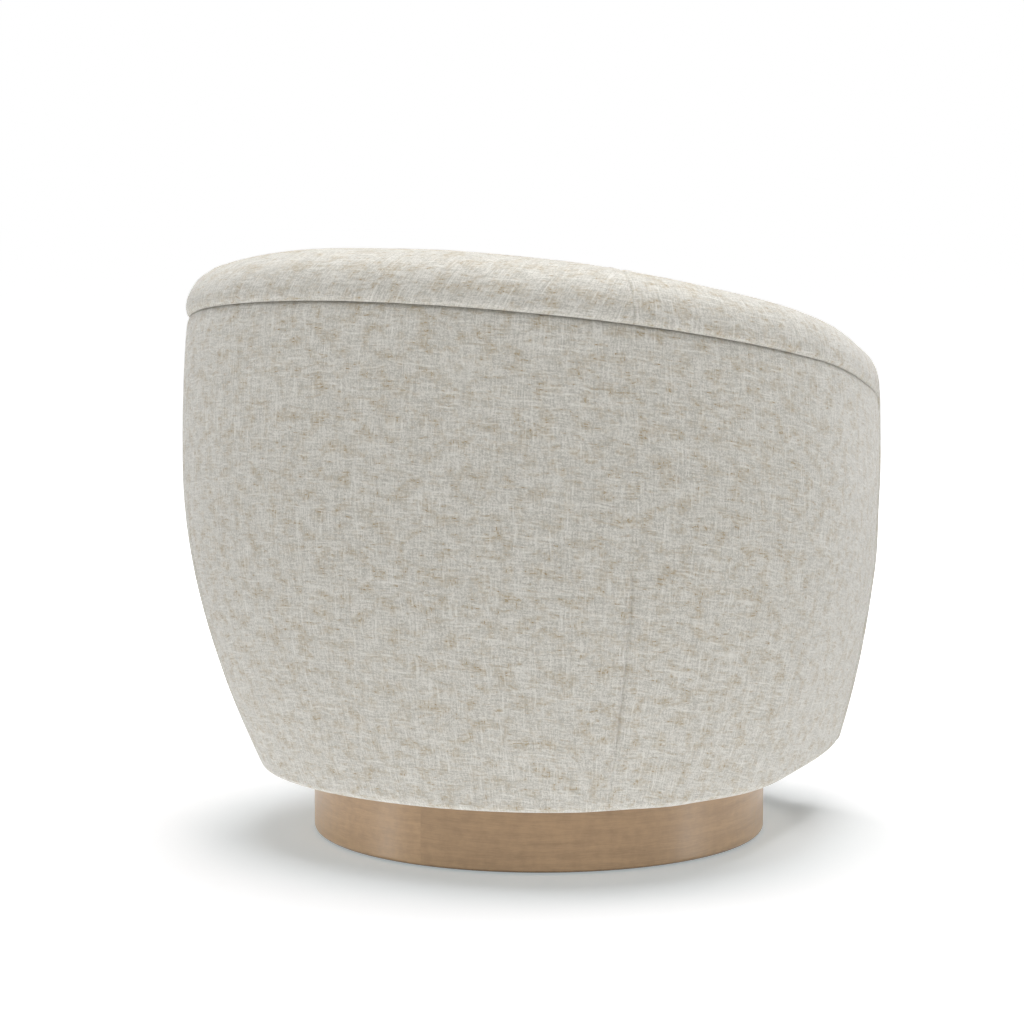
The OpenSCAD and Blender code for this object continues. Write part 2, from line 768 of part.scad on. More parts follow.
module front_panel() {
    low = body_bottom + hem_radius;
    high = deck_z - front_top_r;
    color("ivory") swept(front_rings(concat(
        [for (t = top_turns) [-front_top_r * (1 - sin(t)), high + front_top_r * cos(t)]],
        [for (z = spread(high, low, panel_levels)) if (z < high) [0, z]],
        hem(0),
        [[-hem_radius, board_z - joint_gap]],
        [for (z = spread(board_z - joint_gap, deck_z, panel_levels)) [-front_pad, z]])));
}

swell_levels = 7;

function inner_section(a, run) = let (top = cover_top(a, run), foot = deck_z - deck_pad_t) concat(
    [[-pad_out(a), foot], [-pad_out(a), top], [-wall(a) + roll_overhang, top]],
    [for (i = [1 : swell_levels]) let (t = i / swell_levels)
        [-wall(a) - inner_swell * sin(90 * t), top + (foot - top) * t]]);

module inner_back() {
    color("beige") swept([for (s = back_stations) ring(s[0], inner_section(s[0], s[1]), s[1])]);
}

module inner_arm(side) {
    color("ivory") sided(side)
        swept([for (s = arm_stations) ring(s[0], inner_section(s[0], s[1]), s[1])]);
}

// Roll along the top, which turns down over the front of each arm to the lower edge
function roll_ring(a, turn, z, run, shrink = 1) =
    let (out = -inset(abs(a), min(z, seam_z(a))) + roll_overhang,
        in = -wall(a) - roll_overhang, half = shrink * (out - in) / 2)
    [for (i = [0 : roll_points]) let (t = 180 * i / roll_points, c = cos(t),
        d = (out + in) / 2 + (c < 0 ? -1 : 1) * half * bulge(abs(c)),
        k = shrink * roll_height * bulge(sin(t)), q = plan(a, d, run + k * sin(turn)))
        [q[0], q[1], z + k * cos(turn)]];

module top_roll_back() {
    color("linen") swept([for (a = back_headings) roll_ring(a, 0, seam_z(a), 0)]);
}

roll_turns = [18, 36, 54, 72, 90];
facing_levels = 9;

module top_roll(side) {
    arm_z = seam_z(arm_heading);
    low = body_bottom + hem_radius;
    color("linen") sided(side) swept(concat(
        [for (a = arm_headings) roll_ring(a, 0, seam_z(a), 0)],
        [for (t = roll_turns) let (run = roll_bend * sin(t))
            roll_ring(arm_heading, t, arm_z - roll_drop(run), run)],
        [for (z = spread(arm_z - roll_bend, low, facing_levels)) if (z < arm_z - roll_bend)
            roll_ring(arm_heading, 90, z, roll_bend)],
        [for (t = hem_turns)
            roll_ring(arm_heading, 90, hem_z(t), roll_bend, 1 - hem_radius / roll_height * (1 - cos(t)))]));
}

// Loose seat cushion: swollen boxing between two edge seams, under a crowned top
cushion_over = back_reach - bow_reach;
cushion_z = deck_z + joint_gap;
cushion_foot = 6;
boxing_steps = 6;
crown_shares = [0.97, 0.9, 0.78, 0.6, 0.38, 0.15];
crown_power = 2.4;
crown_rise_power = 0.6;

function cushion_plan(e) =
    seat_plan(widest_z, inner_swell + cushion_gap + e, -cushion_gap - e, cushion_over - e);

function crown_rise(s) = pow(1 - pow(s, crown_power), crown_rise_power);

function cushion_ring(e, z, share = 1) = let (p = cushion_plan(e))
    [for (q = p) [share * q[0], share * q[1] + (1 - share) * cushion_middle, z]];

cushion_middle = (rear_face_y + frame_y) / 2;
seam_z1 = cushion_z + cushion_foot + cushion_boxing;

module seat_cushion() {
    color("oldlace") swept(concat(
        [cushion_ring(cushion_swell + cushion_foot, cushion_z)],
        [for (t = spread(0, 1, boxing_steps))
            cushion_ring(cushion_swell * (1 - sin(180 * t)), seam_z1 + cushion_boxing * (t - 1))],
        [for (s = crown_shares)
            cushion_ring(cushion_swell, seam_z1 + cushion_crown * crown_rise(s), s)]));
}

plinth_wall();
plinth_face(1);  // plinth_face_left
plinth_face(-1);  // plinth_face_right
plinth_top_board();
plinth_glue_blocks();
plinth_glides();
swivel_lower_plate();
lower_plate_screws();
swivel_pivot();
ball_cage();
bearing_balls();
swivel_upper_plate();
upper_plate_bolts();
bottom_board();
dust_cover();
back_ribs();
side_ribs(1);  // side_ribs_left
side_ribs(-1);  // side_ribs_right
arm_board(1);  // arm_board_left
arm_board(-1);  // arm_board_right
top_rail_back();
top_rail(1);  // top_rail_left
top_rail(-1);  // top_rail_right
front_rail();
rear_rail();
side_rail(1);  // side_rail_left
side_rail(-1);  // side_rail_right
corner_posts();
front_formers();
front_apron();
sinuous_springs();
spring_clips();
deck_pad();
wall_webbing();
outer_back();
outer_arm(1);  // outer_arm_left
outer_arm(-1);  // outer_arm_right
front_panel();
inner_back();
inner_arm(1);  // inner_arm_left
inner_arm(-1);  // inner_arm_right
top_roll_back();
top_roll(1);  // top_roll_left
top_roll(-1);  // top_roll_right
seat_cushion();
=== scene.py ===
"""Looks of the swivel barrel chair: covers, cushion, wood, metal, camera and light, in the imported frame."""

import bmesh
import bpy
import numpy as np
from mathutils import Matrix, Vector
from mathutils.kdtree import KDTree


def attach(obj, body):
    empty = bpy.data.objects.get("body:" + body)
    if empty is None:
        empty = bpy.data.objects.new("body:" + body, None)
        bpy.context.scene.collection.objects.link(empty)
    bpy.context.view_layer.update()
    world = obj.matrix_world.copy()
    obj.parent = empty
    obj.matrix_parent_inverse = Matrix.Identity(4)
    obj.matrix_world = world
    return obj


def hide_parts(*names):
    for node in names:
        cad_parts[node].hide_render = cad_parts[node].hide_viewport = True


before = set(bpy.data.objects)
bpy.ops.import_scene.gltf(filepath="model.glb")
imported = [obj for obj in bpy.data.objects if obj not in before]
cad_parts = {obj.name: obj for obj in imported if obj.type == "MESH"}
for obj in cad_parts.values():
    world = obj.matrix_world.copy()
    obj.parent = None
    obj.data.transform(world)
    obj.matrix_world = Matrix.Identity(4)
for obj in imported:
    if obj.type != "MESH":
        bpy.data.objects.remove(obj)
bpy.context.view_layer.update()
scene = bpy.context.scene
MM = 0.001

# ---------------------------------------------------------------- camera
# Heading of the camera seen from the chair, its own turn and pitch, then metres and pixels
AZIMUTH, TURN, PITCH = np.radians([211.6, 0.52, 6.21])
DISTANCE, HEIGHT = 3.69494, 0.7952
FOCAL_PX, PICTURE_PX, SENSOR = 3000.0, 1024, 36.0


def make_camera():
    data = bpy.data.cameras.new("camera")
    cam = bpy.data.objects.new("camera", data)
    scene.collection.objects.link(cam)
    heading = AZIMUTH + TURN
    ahead = Vector((-np.sin(heading) * np.cos(PITCH), np.cos(heading) * np.cos(PITCH), -np.sin(PITCH)))
    cam.location = (DISTANCE * np.sin(AZIMUTH), -DISTANCE * np.cos(AZIMUTH), HEIGHT)
    cam.rotation_euler = ahead.to_track_quat("-Z", "Y").to_euler()
    data.sensor_width = SENSOR
    data.sensor_fit = "HORIZONTAL"
    data.lens = FOCAL_PX / PICTURE_PX * SENSOR
    data.clip_end = 60
    scene.camera = cam


# ---------------------------------------------------------------- the body's form, in mm and degrees
# A heading is the angle of the wall's outward normal: 0 at the middle of the back, positive to the sitter's left.
# The plan is a chain of tangent arcs, whose radii and end headings follow
BACK = 421.0
RADII = [487.0, 316.0, 416.0, 1375.0, 51.0]
ENDS = [0.0, 34.2, 76.0, 101.0, 111.5, 138.0]
PANEL = 43.0  # heading of the side seam at mid height
ARM = 111.5  # heading of the arms' front ends
BOTTOM, WIDEST, HEM = 85.5, 454.0, 9.0
HEM_LIP = 20.0  # width of the cover turned in under the hem
BOARD_Z, BOARD_GAP = 91.7, 0.3
# How far the body narrows from its widest height to the hem: runs of headings with the insets at their ends,
# then small bumps (heading, width, more inset)
TAPER_RUNS = ((90, 122, 81, 45), (45, 90, 93, 81), (0, 45, 73.5, 93))
TAPER_BUMPS = ((0, 14, 8.0), (30, 9, -3.5), (50, 9, 3.0), (74, 11, 8.5), (103, 6, 7.5))
TAPER_FRONT, TAPER_POWER = 45.0, 1.92
ARM_SLIM, ARM_SLIM_AT, ARM_SLIM_W = 4.2, 112.0, 10.0
BACK_WALL, ARM_WALL = 142.0, 92.0
# Height of the seam under the roll: at the middle of the sides, at the back, its lean and its drop at the arms
SEAM_SIDE, SEAM_BACK, SEAM_LEAN, SEAM_DROP = 588.0, 667.0, 9.7, 5.5
ROLL_H, ROLL_OUT, ROLL_BEND, ROLL_POWER = 58.5, 4.0, 24.0, 2.23
BEND_CLOTH = ROLL_BEND + 30  # radius at which the cloth keeps its length round the bend
ROLL_SHOW = 2.8  # how far the roll stands out beyond the cover
ROLL_SOFTER = 0.15  # the roll's outer shoulder is rounder at the arms
ROLL_LOW_POWER = 0.8  # and squarer towards the floor
OUTER_PAD, INNER_PAD, INNER_SWELL, FRONT_PAD, FRONT_CORNER = 12.0, 46.0, 10.0, 16.0, 34.0
DECK, DECK_PAD, DECK_EDGE = 300.0, 14.0, 5.0
CUSHION_Z, FOOT, BOXING, CROWN = 300.3, 6.0, 112.0, 42.0
GAP, CUSHION_GAP, SWELL, UNDERCUT = 0.5, 4.0, 7.0, 5.0
ARM_RUN = ROLL_BEND - GAP
ARM_TURNS = [ARM_RUN * np.sin(t) for t in np.radians([15, 30, 45, 60, 75, 90])]


def sind(a):
    return np.sin(np.radians(a))


def cosd(a):
    return np.cos(np.radians(a))


def ease(t):
    u = np.clip(t, 0, 1)
    return u * u * (3 - 2 * u)


def bump(x, width):
    return np.exp(-(x / width) ** 2)


def chain(b):
    """Point of the plan curve at heading b of the left half, and the curve's length up to it"""
    x, y, run = 0.0 * b, BACK + 0.0 * b, 0.0 * b
    for r, e0, e1 in zip(RADII, ENDS[:-1], ENDS[1:]):
        w = np.clip(b, e0, e1)
        x = x + r * (sind(w) - sind(e0))
        y = y - r * (cosd(e0) - cosd(w))
        run = run + r * np.radians(w - e0)
    return x, y, run


def plan(a, d=0.0, run=0.0):
    """Point at heading a, d outside the plan curve and moved on by run along the tangent"""
    a = np.asarray(a, float)
    b, s = np.abs(a), np.where(a < 0, -1.0, 1.0)
    x, y, _ = chain(b)
    return s * (x + d * sind(b) + run * cosd(b)), y + d * cosd(b) - run * sind(b)


def along(a):
    """Length of the plan curve from the middle of the back to heading a"""
    return np.sign(a) * chain(np.abs(np.asarray(a, float)))[2]


def taper(b):
    """How far the hem lies inside the widest outline"""
    out = np.full_like(b, TAPER_FRONT)
    for b0, b1, t0, t1 in TAPER_RUNS:
        out = np.where(b < b1, t0 + (t1 - t0) * ease((b - b0) / (b1 - b0)), out)
    for at, width, more in TAPER_BUMPS:
        out = out + more * bump(b - at, width)
    return out


def inset(b, z):
    """How far the cover lies inside the plan curve at heading b and height z"""
    b, z = np.broadcast_arrays(np.asarray(b, float), np.asarray(z, float))
    low = taper(b) * (np.clip(WIDEST - z, 0, None) / (WIDEST - BOTTOM)) ** TAPER_POWER
    arm_end = ARM_SLIM * bump(b - ARM_SLIM_AT, ARM_SLIM_W) * ease((z - 310) / 90)
    return np.where(z < WIDEST, low, 9 * ((z - WIDEST) / 200) ** 2) + arm_end


def wall(a):
    """Thickness of the upholstered wall"""
    return BACK_WALL + (ARM_WALL - BACK_WALL) * ease((np.abs(a) - ENDS[1]) / (ARM - ENDS[1]))


SEAM_TAN = np.tan(np.radians(SEAM_LEAN))
SEAM_BOW = SEAM_BACK - SEAM_SIDE - BACK * SEAM_TAN


def seam_z(a):
    """Height of the seam under the roll"""
    b = np.abs(np.asarray(a, float))
    y = chain(b)[1]
    drop = SEAM_DROP * ease((b - ENDS[3]) / (ARM - ENDS[3]))
    return SEAM_SIDE + y * SEAM_TAN + SEAM_BOW * (y / BACK) ** 2 - drop


def cover_top(a, run=0.0):
    """Upper edge of the covers at heading a, bent down over the arm's front end"""
    return float(seam_z(a) - ROLL_BEND + np.sqrt(max(ARM_RUN ** 2 - run ** 2, 0)))


# Front of the seat: an upright corner tangent to the bow
BOW_R = float(chain(np.array(ENDS[-1]))[0] / sind(ENDS[-1]))
BOW_Y = float(chain(np.array(ENDS[-1]))[1] - BOW_R * cosd(ENDS[-1]))
DUAL = ROLL_POWER / (ROLL_POWER - 1)
ROLL_FOOT = (ARM_WALL + 2 * ROLL_OUT - 45) / 2
BITE = ((ROLL_FOOT * sind(ARM)) ** DUAL + (-ROLL_H * cosd(ARM)) ** DUAL) ** (1 / DUAL)
HALF_W = float(plan(ARM, ROLL_FOOT - ARM_WALL - ROLL_OUT, ROLL_BEND)[0] - BITE - GAP)
FACE_Y = float(plan(ARM, -ARM_WALL - ROLL_OUT, ROLL_BEND)[1] - 2 * GAP)
CORNER_X = HALF_W - FRONT_CORNER


def bow_at(z):
    return BOW_R - inset(180.0, z)


def front_point(t, z, d):
    """t runs 0..1 round the corner and 1..2 along the bow to the middle"""
    r = bow_at(z)
    turn = 180 - np.degrees(np.arcsin(CORNER_X / (r - FRONT_CORNER)))
    cy = BOW_Y - np.sqrt((r - FRONT_CORNER) ** 2 - CORNER_X ** 2)
    b0 = 90 + (turn - 90) * np.clip(t, 0, 1)
    b1 = turn + (180 - turn) * np.clip(t - 1, 0, 1)
    x = np.where(t <= 1, CORNER_X + (FRONT_CORNER + d) * sind(b0), (r + d) * sind(b1))
    y = np.where(t <= 1, cy + (FRONT_CORNER + d) * cosd(b0), BOW_Y + (r + d) * cosd(b1))
    return x, y


# ---------------------------------------------------------------- meshes
def obj_from(name, pts, uvs, faces, material, body, nodes, fill, slot="linen_weave"):
    """A piece in place of the named nodes, with the cloth's own measures as its map"""
    me = bpy.data.meshes.new(name)
    me.from_pydata([tuple(p) for p in np.asarray(pts) * MM], [], faces)
    layer = me.uv_layers.new(name="cloth")
    loops = np.zeros(len(me.loops), int)
    me.loops.foreach_get("vertex_index", loops)
    flat = np.asarray(uvs)[loops] * MM
    layer.data.foreach_set("uv", flat.astype(np.float32).ravel())
    me.polygons.foreach_set("use_smooth", [True] * len(me.polygons))
    me.materials.append(material)
    me.update()
    o = bpy.data.objects.new(name, me)
    scene.collection.objects.link(o)
    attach(o, body)
    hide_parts(*nodes)
    return o


def lattice(P, U, flip=False):
    """Closed skin over m rings of n points, P is (m, n, 3), with a cap on the first and the last ring"""
    m, n = P.shape[:2]
    idx = np.arange(m * n).reshape(m, n)
    faces = []
    for i in range(m - 1):
        for j in range(n):
            k = (j + 1) % n
            q = (idx[i, j], idx[i, k], idx[i + 1, k], idx[i + 1, j])
            faces.append(tuple(int(v) for v in (q[::-1] if flip else q)))
    a, b = [int(v) for v in idx[0]], [int(v) for v in idx[-1]]
    faces.append(tuple(a if flip else a[::-1]))
    faces.append(tuple(b[::-1] if flip else b))
    return P.reshape(-1, 3), U.reshape(-1, 2), faces


def path_length(a, b):
    """Running length of the line through the points (a, b)"""
    return np.concatenate([[0], np.cumsum(np.hypot(np.diff(a), np.diff(b)))])


def hem_turn():
    """Angles of the hem's rounded corner"""
    return np.radians(np.linspace(0, 90, 11)[1:])


def seam_heading(z):
    """The seam between back and side leans a little towards the back near the floor"""
    return PANEL - 2.0 * np.clip((350 - np.asarray(z, float)) / 250, 0, 1) ** 1.3


def cover_shape(s, z, top, edge):
    """Outward displacement of the outer cover: s is the distance from the side seam in mm"""
    low = ease(np.clip((430 - z) / 90, 0, 1)) * (1 - 0.6 * ease(np.clip((200 - z) / 90, 0, 1)))
    groove = -2.4 * bump(s, 2.2) * low
    puff = 0.8 * bump(s - 7, 5) * low
    down = np.clip(top - z, 0, None)
    pucker = 0.35 * np.sin(edge * 0.19 + 2) + 0.3 * np.sin(edge * 0.43) + 0.25 * np.sin(edge * 0.89 + 1)
    tuck = -3.8 * np.exp(-down / 6.0) + 0.35 * pucker * np.exp(-down / 12)
    drift = 0.35 * np.sin(edge * 0.021 + z * 0.013) + 0.25 * np.sin(edge * 0.047 - z * 0.019 + 1.3)
    return groove + puff + tuck + drift


def outer_cover(name, node, side):
    """side 0 is the back; 1 and -1 are the arms. Extra rings lie close to the side seam"""
    length = along(PANEL) if side == 0 else along(ARM) - along(PANEL)
    near = np.array([0.7, 1.4, 2.1, 2.9, 3.9, 5.2, 7, 9.5, 13]) / length
    turn = hem_turn()
    low = BOTTOM + HEM
    if side == 0:
        ts = np.unique(np.concatenate([np.linspace(-1, 1, 171), 1 - near, near - 1]))
    else:
        ts = np.unique(np.concatenate([np.linspace(0, 1, 140), near]))
    runs = [0.0] * len(ts)
    if side:
        ts = np.concatenate([ts, [1.0] * len(ARM_TURNS)])
        runs = runs + ARM_TURNS
    rings, uvs = [], []
    for t, run in zip(ts, runs):
        top = cover_top(PANEL * abs(t) if side == 0 else PANEL + (ARM - PANEL) * t, run)
        z_out = top - (top - low) * np.linspace(0, 1, 90) ** 1.15
        z_hem = BOTTOM + HEM * (1 - np.sin(turn))
        z_in = np.linspace(BOARD_Z - BOARD_GAP, top, 12)
        z = np.concatenate([z_out, z_hem, [BOTTOM, BOARD_Z - BOARD_GAP], z_in])
        seam = seam_heading(z)
        if side == 0:
            a = t * seam
            s = along(seam) - np.abs(along(a))
        else:
            a = seam + (ARM - seam) * t
            s = along(a) - along(seam) + run
        b = np.abs(a)
        d = -inset(b, z)
        n0, n1 = len(z_out), len(z_out) + len(z_hem)
        d[n0:n1] -= HEM * (1 - np.cos(turn))
        d[n1:n1 + 2] = -inset(b[n1:n1 + 2], BOTTOM) - HEM - HEM_LIP
        d[n1 + 2:] -= OUTER_PAD
        d[:n0] += cover_shape(s, z, top, np.abs(along(a)) + run)[:n0]
        x, y = plan(a, d, run)
        sx = -1.0 if side < 0 else 1.0
        rings.append(np.stack([sx * x, y, z], 1))
        uvs.append(np.stack([sx * (along(a) + run), -path_length(d, z)], 1))
    P, U = np.array(rings), np.array(uvs)
    return obj_from(name, *lattice(P, U, flip=side >= 0), CLOTH, "shell", [node], fill=0.9)


def superellipse(n, power):
    """Upper half of a superellipse, from its right end to its left end"""
    t = np.linspace(0, 180, n)
    c, s = cosd(t), np.clip(sind(t), 0, None)
    return np.sign(c) * np.abs(c) ** (2 / power), s ** (2 / power)


def roll_section(a, turn, z, run, hem, s_seam, n=56):
    """One ring of the top roll, with its lower edges rolled under into the seam groove.
    s_seam is the distance from the roll's cross seam, and k the height above the ring's foot"""
    power = ROLL_POWER + ROLL_LOW_POWER * float(ease((WIDEST - z) / (WIDEST - BOTTOM)))
    cx, ck = superellipse(n, power)
    ox, ok = superellipse(n, power - ROLL_SOFTER * float(ease((abs(a) - 70) / 30)))
    cx, ck = np.where(cx > 0, ox, cx), np.where(cx > 0, ok, ck)
    out = float(-inset(abs(a), min(z, float(seam_z(a)))) + ROLL_SHOW) - hem
    inn = float(-wall(a) - ROLL_OUT) + hem / 2
    x = (out + inn) / 2 + (out - inn) / 2 * cx
    k = (ROLL_H - hem) * ck
    pucker = 0.35 * np.sin(s_seam * 0.21) + 0.3 * np.sin(s_seam * 0.47 + 1) + 0.25 * np.sin(s_seam * 0.83 + 2)
    under = (5.6 + 0.9 * pucker) * np.exp(-k / 6.0)
    x = x - np.sign(cx) * under
    arc = path_length(x, k)
    up = np.clip(np.sin(np.pi * arc / arc[-1]), 0, 1)
    pinch = (-1.7 * bump(s_seam, 3.0) + 0.7 * bump(s_seam - 9, 7)) * ease(up * 1.4 - 0.2)
    skew = s_seam + 0.35 * (arc - arc[-1] / 2)
    fan = np.cos(skew * 0.42) * np.exp(-abs(s_seam) / 24.0) * 0.5 * up
    drift = 0.35 * np.sin(arc * 0.05 + s_seam * 0.018) + 0.25 * np.sin(arc * 0.021 - s_seam * 0.031 + 0.7)
    swell = (pinch + fan + drift) * np.clip(k / 6.0, 0, 1)
    nx, nk = np.gradient(k), -np.gradient(x)
    size = np.hypot(nx, nk)
    nx, nk = nx / size, nk / size
    x, k = x + swell * nx, np.maximum(k + swell * nk, 0)
    xs, ys = plan(a, x, run + k * sind(turn))
    return np.stack([xs, ys, z + k * cosd(turn)], 1), arc


def top_roll(name, node, side):
    """A station is heading, turn of the ring, height, run, hem, distance from the cross seam and cloth length.
    At the arms the roll bends down and runs to the hem as the arm's front"""
    stations = []
    if side == 0:
        for a in np.linspace(-PANEL, PANEL, 190):
            s = float(along(PANEL) - abs(along(a)))
            stations.append((a, 0, float(seam_z(a)), 0.0, 0.0, s, float(along(a))))
    else:
        s_seam, s_bend = float(along(PANEL)), float(along(ARM))
        for a in np.linspace(PANEL, ARM, 150):
            stations.append((a, 0, float(seam_z(a)), 0.0, 0.0, float(along(a)) - s_seam, float(along(a))))
        z_bend = float(seam_z(ARM))
        for t in np.linspace(0, 90, 22)[1:]:
            r = np.radians(t)
            stations.append((ARM, t, z_bend - ROLL_BEND * (1 - np.cos(r)), ROLL_BEND * np.sin(r), 0.0,
                             s_bend - s_seam + ROLL_BEND * r, s_bend + BEND_CLOTH * r))
        low = BOTTOM + HEM
        z_front = z_bend - ROLL_BEND
        s_front = s_bend + BEND_CLOTH * np.pi / 2
        for z in np.linspace(z_front, low, 90)[1:]:
            stations.append((ARM, 90, z, ROLL_BEND, 0.0, s_bend - s_seam + z_front - z + 60,
                             s_front + z_front - z))
        for t in np.linspace(0, 90, 10)[1:]:
            z = BOTTOM + HEM * (1 - sind(t))
            stations.append((ARM, 90, z, ROLL_BEND, HEM * (1 - cosd(t)), s_bend - s_seam + z_front - z + 60,
                             s_front + z_front - low + HEM * np.radians(t)))
    rings, uvs = [], []
    for a, turn, z, run, hem, s, u in stations:
        P, arc = roll_section(a, turn, z, run, hem, s)
        if side < 0:
            P = P * [-1, 1, 1]
        rings.append(P)
        lean = 0.0 if side else 0.5
        uvs.append(np.stack([u * (side or 1) + lean * arc, arc + 500], 1))
    P, U = np.array(rings), np.array(uvs)
    obj_from(name, *lattice(P, U, flip=side < 0), CLOTH, "shell", [node], fill=0.95)


def share_normals(a, b):
    """Two covers take one normal where their edges meet, so that the cloth runs on unbroken"""
    tree = KDTree(len(b.data.vertices))
    for v in b.data.vertices:
        tree.insert(v.co, v.index)
    tree.balance()
    na, nb = [v.normal.copy() for v in a.data.vertices], [v.normal.copy() for v in b.data.vertices]
    for v in a.data.vertices:
        _, i, gap = tree.find(v.co)
        if gap < 2e-5 and v.co.z > 0.4:
            na[v.index] = nb[i] = (na[v.index] + nb[i]).normalized()
    a.data.normals_split_custom_set_from_vertices(na)
    b.data.normals_split_custom_set_from_vertices(nb)


def inner_cover(name, node, side):
    """Tight inner back and arm pads, drawn in at the seams and at the deck"""
    if side == 0:
        heads = [(a, 0.0) for a in np.linspace(-PANEL, PANEL, 150)]
    else:
        heads = [(a, 0.0) for a in np.linspace(PANEL, ARM, 120)]
        heads += [(ARM, run) for run in ARM_TURNS]
    foot = DECK - DECK_PAD
    rings, uvs = [], []
    for a, run in heads:
        top = cover_top(a, run)
        w = float(wall(a))
        t = np.linspace(0, 1, 70)
        z = top + (foot - top) * t
        s = abs(float(along(PANEL) - abs(along(a)))) + run
        d = -w - INNER_SWELL * np.sin(np.pi / 2 * t)
        puff = -1.5 * bump(s, 4.0) + 0.8 * bump(s - 12, 9)
        d = d - puff + 3.0 * np.exp(-(top - z) / 4.0)
        d = d + 0.4 * np.sin(along(a) * 0.02 + z * 0.016)
        d = np.maximum(d, -w - INNER_SWELL)
        dd = np.concatenate([[-w + INNER_PAD, -w + INNER_PAD, -w + ROLL_OUT], d])
        zz = np.concatenate([[foot, top, top], z])
        x, y = plan(a, dd, run)
        if side < 0:
            x = -x
        rings.append(np.stack([x, y, zz], 1))
        v = path_length(dd, zz)
        uvs.append(np.stack([np.full(len(v), (along(a) + run) * (side or 1) * 0.7 + 900), v], 1))
    P, U = np.array(rings), np.array(uvs)
    obj_from(name, *lattice(P, U, flip=side >= 0), CLOTH, "shell", [node], fill=0.85)


def front_cover():
    """Padded front under the cushion: rounded top edge, bowed face and hem"""
    ts = np.concatenate([np.linspace(0, 1, 40), 1 + np.linspace(0, 1, 90)[1:]])
    low, top_r = BOTTOM + HEM, 12.0
    high = DECK - top_r
    top_turn, turn = np.radians(np.linspace(0, 90, 10)), hem_turn()
    z_face = np.linspace(high, low, 46)[1:]
    z_in = np.linspace(BOARD_Z - BOARD_GAP, DECK, 14)
    d = np.concatenate([-top_r * (1 - np.sin(top_turn)), np.zeros(len(z_face)), -HEM * (1 - np.cos(turn)),
                        [-HEM], np.full(len(z_in), -FRONT_PAD)])
    z = np.concatenate([high + top_r * np.cos(top_turn), z_face, BOTTOM + HEM * (1 - np.sin(turn)),
                        z_in[:1], z_in])
    half = [np.stack([CORNER_X + FRONT_CORNER + d, np.full(len(z), FACE_Y), z], 1)]
    run = [0.0]
    face_row, last = 20, None
    for t in ts:
        x, y = front_point(t, z, d)
        here = np.array([float(x[face_row]), float(y[face_row])])
        run.append(run[-1] + (FACE_Y - here[1] if last is None else float(np.hypot(*(here - last)))))
        last = here
        half.append(np.stack([x, y, z], 1))
    P = np.array(half + [h * [-1, 1, 1] for h in half[:-1]][::-1])
    us = np.array(run + [2 * run[-1] - r for r in run[:-1]][::-1])
    v = path_length(d, z)
    U = np.stack([np.repeat(us[:, None], len(z), 1), np.repeat(-v[None], len(us), 0)], 2)
    obj_from("front_cover", *lattice(P, U, flip=True), CLOTH, "shell", ["front_panel"], fill=0.9)


# ---------------------------------------------------------------- seat plan, cushion and deck
def seat_outline(level, side_d, corner_d, bow_d):
    """Closed plan of the seat: side_d is how far it stays off the wall, corner_d and bow_d how far it goes
    beyond the front's corner and bow"""
    heads = np.linspace(0, ARM, 90)
    xs, ys = plan(heads, -wall(heads) - side_d)
    ex, ey = plan(ARM, -ARM_WALL - side_d, ARM_RUN)
    xs = np.append(xs, [float(ex), CORNER_X + FRONT_CORNER + corner_d])
    ys = np.append(ys, [float(ey), FACE_Y + GAP])
    ts = np.linspace(0, 2, 70)
    d = corner_d + (bow_d - corner_d) * ease(ts)
    fx, fy = front_point(ts, level, d)
    xs, ys = np.concatenate([xs, fx]), np.concatenate([ys, fy])
    xs = np.concatenate([xs, -xs[-2:0:-1]])
    ys = np.concatenate([ys, ys[-2:0:-1]])
    return np.stack([xs, ys], 1)


def resample(loop, n):
    """n evenly spaced points on a closed line, and its length"""
    p = np.vstack([loop, loop[:1]])
    s = path_length(*p.T)
    t = np.linspace(0, s[-1], n + 1)[:-1]
    return np.stack([np.interp(t, s, p[:, 0]), np.interp(t, s, p[:, 1])], 1), s[-1]


MIDDLE = np.array([0.0, -22.0])
FACE_SHIFT = [0, 2000]  # keeps the cloth of the cushion's faces apart from that of its boxing


def seat_cushion():
    """Boxed cushion before cloth pressure: underside, boxing that swells between its seams, crowned top"""
    n = 260
    over = BACK - (BOW_R - BOW_Y)
    def loop(e):
        return resample(seat_outline(WIDEST, INNER_SWELL + CUSHION_GAP + e, -CUSHION_GAP - e, over - e), n)
    rings, uv = [], []
    def add(p, z, uvs):
        rings.append(np.column_stack([p, np.full(n, z)]))
        uv.append(uvs)
    base, perimeter = loop(SWELL)
    under = loop(SWELL + UNDERCUT)[0]
    u = np.arange(n) / n * perimeter
    shares = np.concatenate([[0.03], np.linspace(0.09, 0.985, 27)])
    for s in shares:
        p = MIDDLE + (under - MIDDLE) * s
        add(p, CUSHION_Z, p + FACE_SHIFT)
    for t in np.linspace(0, 1, 16):
        e = SWELL * (1 - np.sin(np.pi * t))
        p = loop(e + (UNDERCUT * (1 - t / 0.06) if t < 0.06 else 0))[0]
        add(p, CUSHION_Z + FOOT + BOXING * t, np.column_stack([u, np.full(n, -BOXING * (1 - t))]))
    for s in shares[::-1]:
        p = MIDDLE + (base - MIDDLE) * s
        add(p, CUSHION_Z + FOOT + BOXING + CROWN * (1 - s ** 2.4) ** 0.6, p + FACE_SHIFT)
    pts, uvs, faces = lattice(np.array(rings), np.array(uv), flip=True)
    o = obj_from("seat_cushion_cover", pts, uvs, faces, CLOTH, "cushion", ["seat_cushion"], fill=0.8)
    grown = inflate(o, np.array(pts))
    o.data.vertices.foreach_set("co", (grown * MM).astype(np.float32).ravel())
    o.data.update()


CLOTH_FRAMES = 20


